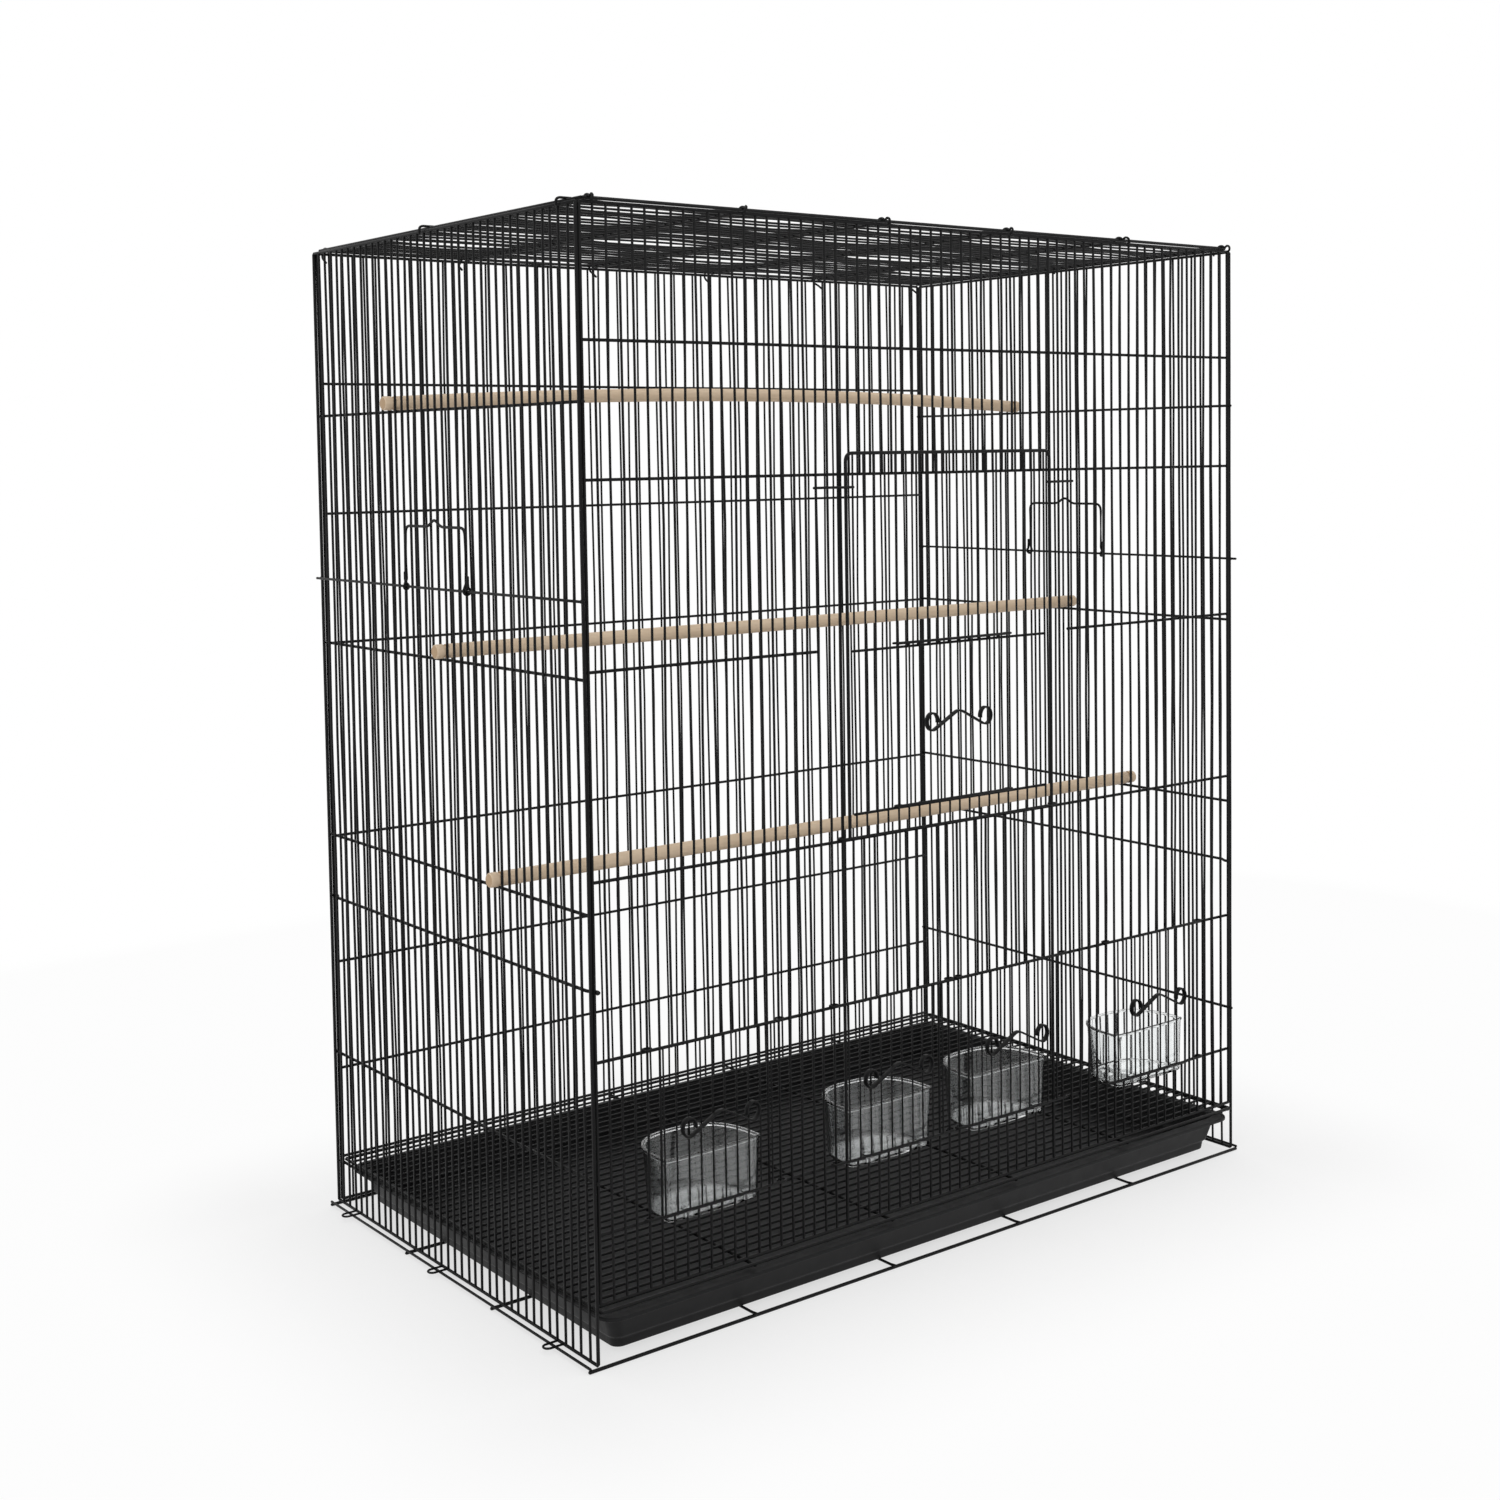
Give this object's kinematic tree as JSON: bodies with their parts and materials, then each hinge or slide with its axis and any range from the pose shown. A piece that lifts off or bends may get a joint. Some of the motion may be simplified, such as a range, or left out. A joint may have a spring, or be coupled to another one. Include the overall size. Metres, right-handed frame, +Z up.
{
  "type": "bird cage",
  "caption": "Tall wire flight cage of flat welded panels, with sliding front doors, feeding cups, wooden perches, a slide-out wire floor and litter tray, and carrying handles.",
  "frame": {"origin": "on the floor, under the middle of the whole object's box", "axes": "+X to the right along the cage's width seen from the front, +Y from the front doors to the back, +Z up"},
  "size_m": [0.7972, 0.4764, 0.914],
  "materials": {
    "wire": "black powder coat, slight gloss",
    "tray": "moulded, fine matt grain",
    "cup": "clear and glossy",
    "perch": "bare pale dowel"
  },
  "bodies": {
    "cage": {"back_panel": "wire", "top_panel": "wire", "left_side_panel": "wire", "right_side_panel": "wire", "front_left_grille": "wire", "front_right_grille": "wire", "front_middle_grille": "wire", "front_upper_grille": "wire", "front_post_1": "wire", "front_post_2": "wire", "front_post_3": "wire", "front_post_4": "wire", "front_post_5": "wire", "front_sill_1": "wire", "front_sill_2": "wire", "front_sill_3": "wire", "front_sill_4": "wire", "base_long_wire_1": "wire", "base_long_wire_2": "wire", "base_long_wire_3": "wire", "base_long_wire_4": "wire", "base_cross_wire_1": "wire", "base_cross_wire_2": "wire", "base_cross_wire_3": "wire", "base_cross_wire_4": "wire", "base_cross_wire_5": "wire", "base_cross_wire_6": "wire", "door_keeper_left": "wire", "door_keeper_right": "wire", "handle_wire_left": "wire", "handle_wire_right": "wire", "perch_high": "perch", "perch_middle": "perch", "perch_low": "perch"},
    "main_door": {"main_door_frame": "wire", "main_door_upper_grille": "wire", "main_door_left_grille": "wire", "main_door_right_grille": "wire", "main_door_sill": "wire"},
    "small_door": {"inner_door": "wire", "inner_door_scroll": "wire"},
    "feeder_hatch_1": {"feeder_door_1": "wire", "feeder_scroll_1": "wire"},
    "feeder_hatch_2": {"feeder_door_2": "wire", "feeder_scroll_2": "wire"},
    "feeder_hatch_3": {"feeder_door_3": "wire", "feeder_scroll_3": "wire"},
    "feeder_hatch_4": {"feeder_door_4": "wire", "feeder_scroll_4": "wire"},
    "feeding_cup_1": {"cup_1": "cup"},
    "feeding_cup_2": {"cup_2": "cup"},
    "feeding_cup_3": {"cup_3": "cup"},
    "feeding_cup_4": {"cup_4": "cup"},
    "tray": {"litter_tray": "tray", "litter_tray_floor": "tray"},
    "wire_floor": {"floor_grille": "wire"},
    "handle_left": {"carry_handle_left": "wire"},
    "handle_right": {"carry_handle_right": "wire"}
  },
  "joints": [
    {"name": "main_door_slide", "type": "slide", "parent": "cage", "child": "main_door", "axis": [0, 0, 1], "range_m": [0, 0.19]},
    {"name": "small_door_slide", "type": "slide", "parent": "main_door", "child": "small_door", "axis": [0, 0, 1], "range_m": [0, 0.125]},
    {"name": "feeder_hatch_slide_1", "type": "slide", "parent": "cage", "child": "feeder_hatch_1", "axis": [0, 0, 1], "range_m": [0, 0.12]},
    {"name": "feeder_hatch_slide_2", "type": "slide", "parent": "cage", "child": "feeder_hatch_2", "axis": [0, 0, 1], "range_m": [0, 0.12]},
    {"name": "feeder_hatch_slide_3", "type": "slide", "parent": "cage", "child": "feeder_hatch_3", "axis": [0, 0, 1], "range_m": [0, 0.12]},
    {"name": "feeder_hatch_slide_4", "type": "slide", "parent": "cage", "child": "feeder_hatch_4", "axis": [0, 0, 1], "range_m": [0, 0.12]},
    {"name": "cup_lift_1", "type": "slide", "parent": "cage", "child": "feeding_cup_1", "axis": [0, 0, 1], "range_m": [0, 0.02]},
    {"name": "cup_lift_2", "type": "slide", "parent": "cage", "child": "feeding_cup_2", "axis": [0, 0, 1], "range_m": [0, 0.02]},
    {"name": "cup_lift_3", "type": "slide", "parent": "cage", "child": "feeding_cup_3", "axis": [0, 0, 1], "range_m": [0, 0.02]},
    {"name": "cup_lift_4", "type": "slide", "parent": "cage", "child": "feeding_cup_4", "axis": [0, 0, 1], "range_m": [0, 0.02]},
    {"name": "tray_slide", "type": "slide", "parent": "cage", "child": "tray", "axis": [0, -1, 0], "range_m": [0, 0.42]},
    {"name": "wire_floor_slide", "type": "slide", "parent": "cage", "child": "wire_floor", "axis": [0, -1, 0], "range_m": [0, 0.42]},
    {"name": "handle_hinge_left", "type": "hinge", "parent": "cage", "child": "handle_left", "pos_m": [-0.3839, 0.00365, 0.6032], "axis": [0, -1, 0], "range_deg": [0, 160]},
    {"name": "handle_hinge_right", "type": "hinge", "parent": "cage", "child": "handle_right", "pos_m": [0.3839, 0.00365, 0.6032], "axis": [0, 1, 0], "range_deg": [0, 160]}
  ]
}
